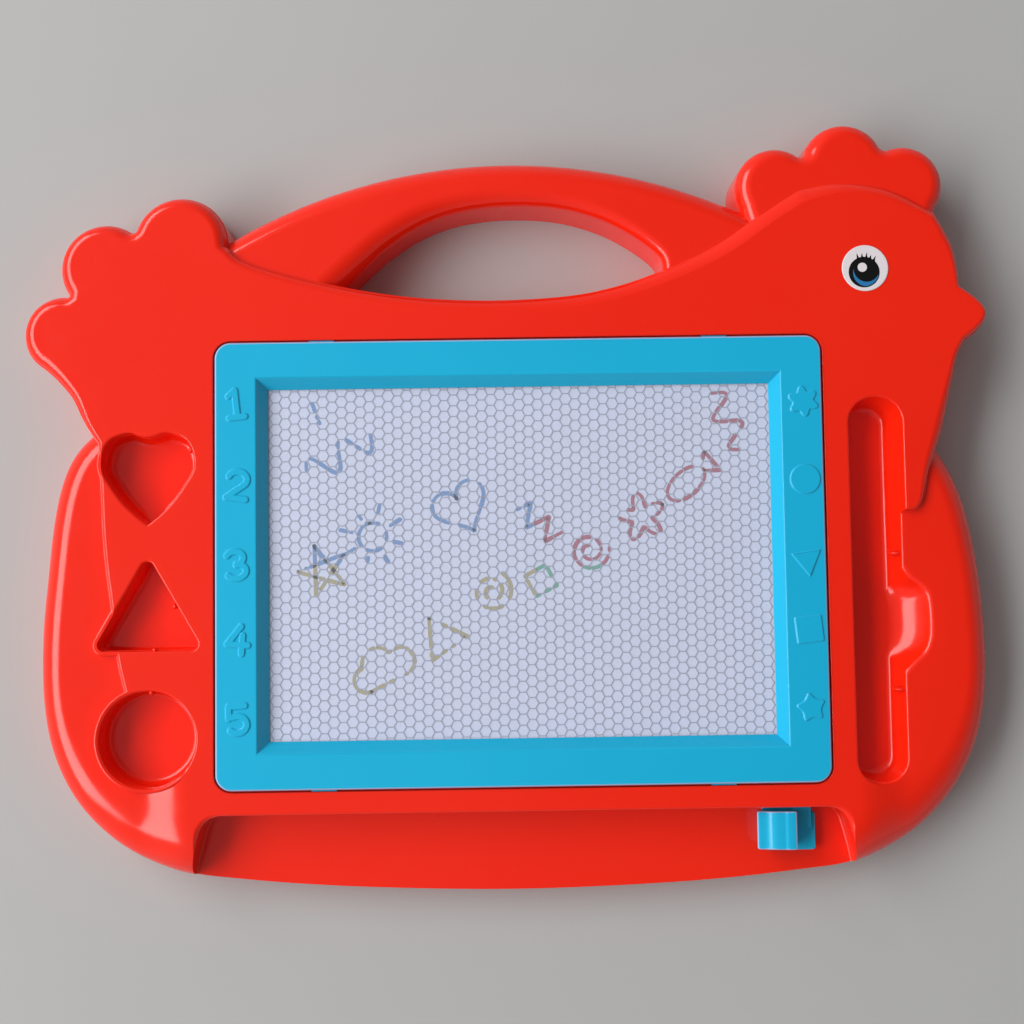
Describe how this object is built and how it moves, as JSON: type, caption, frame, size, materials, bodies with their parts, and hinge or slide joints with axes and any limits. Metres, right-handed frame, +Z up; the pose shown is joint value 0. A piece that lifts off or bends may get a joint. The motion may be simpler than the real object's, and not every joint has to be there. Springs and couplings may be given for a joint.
{
  "type": "magnetic drawing board",
  "caption": "Hen-shaped magnetic drawing slate with a framed honeycomb screen, carrying handle, pen trough, stamp recesses and an eraser knob that slides along the front tray.",
  "frame": {"origin": "on the table under the centre of the outline: centre of the bounding box at its lowest face", "axes": "+X from the tail to the beak, +Y from the front tray to the handle, +Z up out of the screen; the slate lies on its back"},
  "size_m": [0.2952, 0.235, 0.0234],
  "materials": {
    "red_plastic": "gloss injection-moulded polypropylene, red-orange",
    "blue_plastic": "gloss injection-moulded polystyrene, sky blue",
    "clear_film": "clear flexible sheet",
    "cell_layer": "translucent cell walls round pale blue-grey fluid",
    "white_film": "opaque white sheet",
    "flexible_magnet": "dark flexible magnet strip",
    "printed_sticker": "white sticker with a printed eye"
  },
  "bodies": {
    "board": {"shell": "red_plastic", "bezel": "blue_plastic", "front_film": "clear_film", "honeycomb_core": "cell_layer", "back_film": "white_film", "eye_sticker": "printed_sticker"},
    "eraser": {"eraser_carrier": "blue_plastic", "magnet_strip": "flexible_magnet", "eraser_knob": "blue_plastic"}
  },
  "joints": [
    {"name": "eraser_slide", "type": "slide", "parent": "board", "child": "eraser", "axis": [1, 0, 0], "range_m": [-0.1595, 0]}
  ]
}
